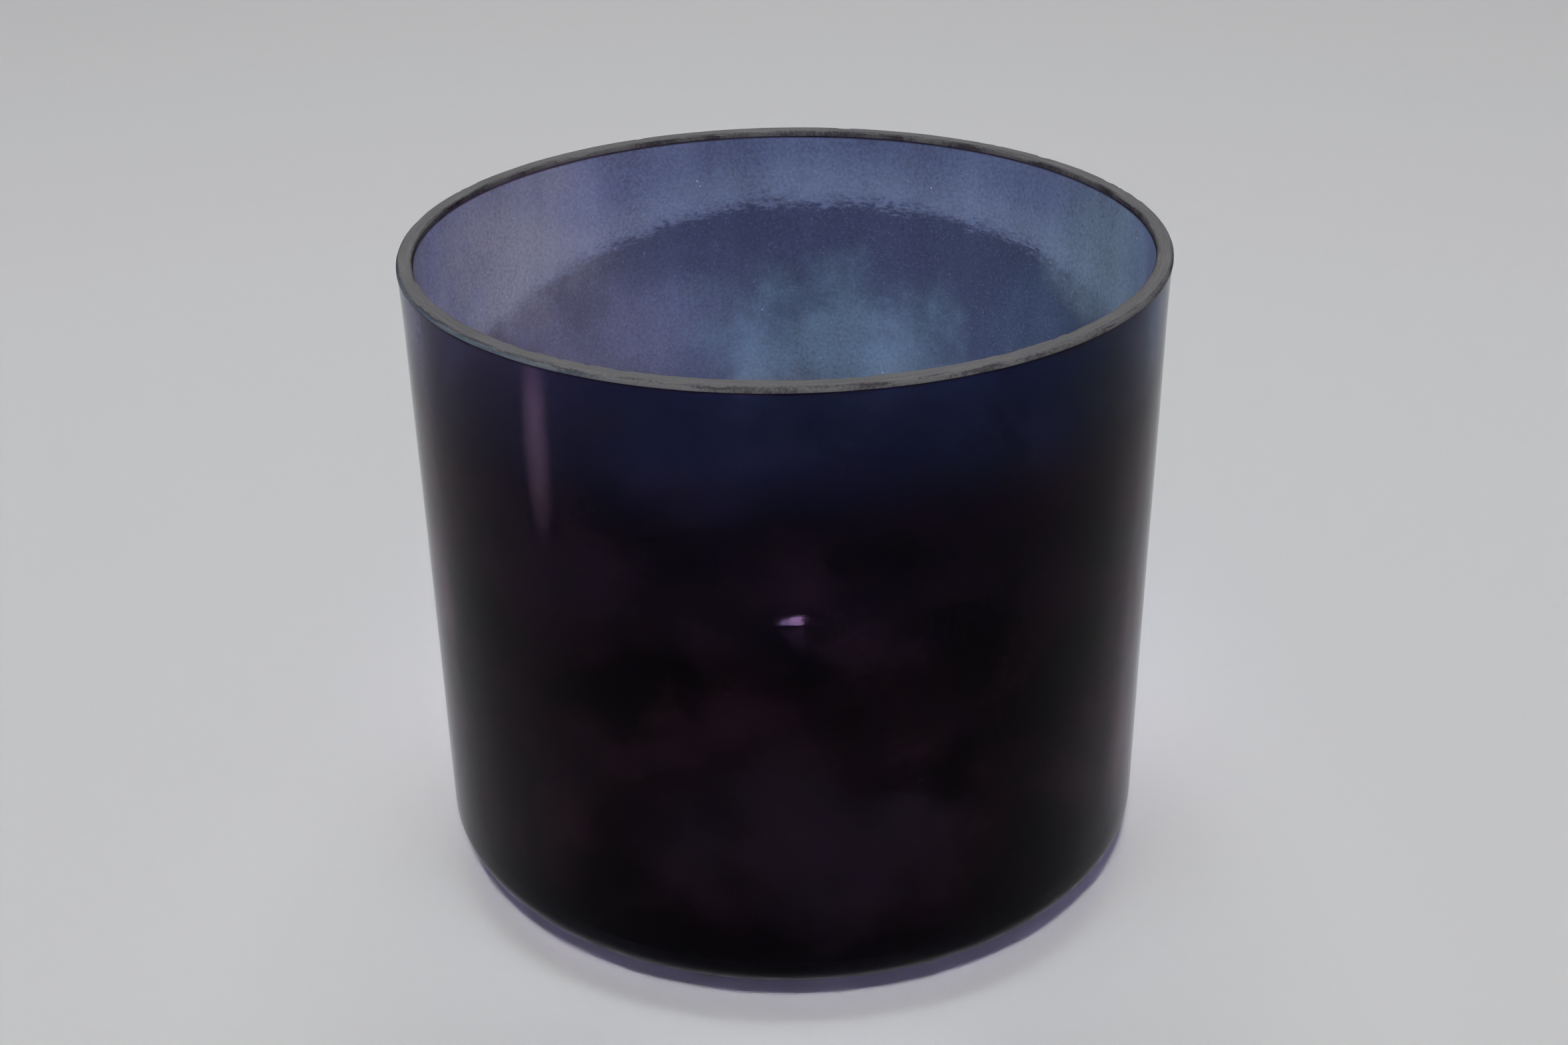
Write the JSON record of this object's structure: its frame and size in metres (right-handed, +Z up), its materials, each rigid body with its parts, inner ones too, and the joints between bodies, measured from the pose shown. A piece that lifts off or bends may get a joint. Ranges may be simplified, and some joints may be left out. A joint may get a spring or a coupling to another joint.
{
  "type": "crystal singing bowl",
  "caption": "Free-standing round vessel of coated fused quartz with a near-straight wall, rounded foot corner, flat base and bare ground rim.",
  "frame": {"origin": "centre of the flat resting face", "axes": "+Z up through the mouth, along the vessel's axis; X and Y are level, and the vessel is round, so neither is special"},
  "size_m": [0.2, 0.2, 0.176],
  "materials": {
    "coated_quartz": "translucent fused quartz with a dark indigo to violet iridescent metal-oxide film, glossy, with a fine ripple",
    "ground_quartz": "bare ground quartz, matt grey, with small nicks along its edges"
  },
  "bodies": {
    "root": {"coated_vessel": "coated_quartz", "ground_rim": "ground_quartz"}
  },
  "joints": []
}
